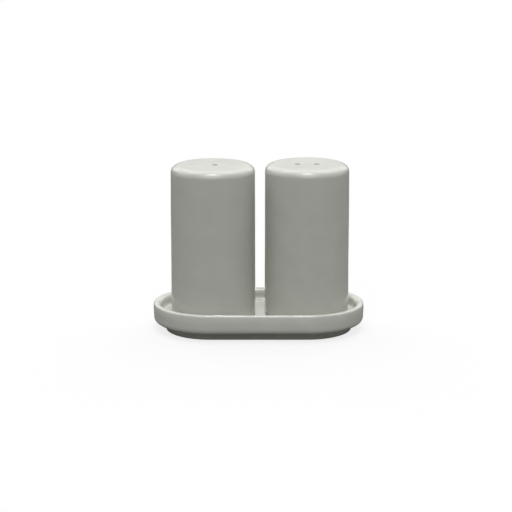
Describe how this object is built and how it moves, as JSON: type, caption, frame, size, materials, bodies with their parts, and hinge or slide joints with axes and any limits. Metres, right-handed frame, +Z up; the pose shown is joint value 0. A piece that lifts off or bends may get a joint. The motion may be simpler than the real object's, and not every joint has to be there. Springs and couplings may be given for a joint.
{
  "type": "salt and pepper shaker set",
  "caption": "Cylindrical glazed ceramic salt and pepper shakers with rounded shoulders and stoppers in their bases, standing on a long rimmed tray with half-round ends.",
  "frame": {"origin": "middle of the tray's foot ring, on the surface the tray stands on", "axes": "+X along the tray from the salt shaker to the pepper shaker, +Y to the back, +Z up"},
  "size_m": [0.1138, 0.0616, 0.0903],
  "materials": {
    "glaze": "smooth glossy grey-green glaze, bare clay on the foot rings",
    "silicone": "matt translucent-white silicone"
  },
  "bodies": {
    "tray": {"tray": "glaze"},
    "salt_stopper": {"salt_stopper": "silicone"},
    "salt_shaker": {"salt_shaker_body": "glaze"},
    "pepper_stopper": {"pepper_stopper": "silicone"},
    "pepper_shaker": {"pepper_shaker_body": "glaze"}
  },
  "joints": [
    {"name": "salt_lift", "type": "slide", "parent": "tray", "child": "salt_stopper", "axis": [0, 0, 1], "range_m": [0, 0.1]},
    {"name": "salt_unstopper", "type": "slide", "parent": "salt_stopper", "child": "salt_shaker", "axis": [0, 0, 1], "range_m": [0, 0.02]},
    {"name": "pepper_lift", "type": "slide", "parent": "tray", "child": "pepper_stopper", "axis": [0, 0, 1], "range_m": [0, 0.1]},
    {"name": "pepper_unstopper", "type": "slide", "parent": "pepper_stopper", "child": "pepper_shaker", "axis": [0, 0, 1], "range_m": [0, 0.02]}
  ]
}
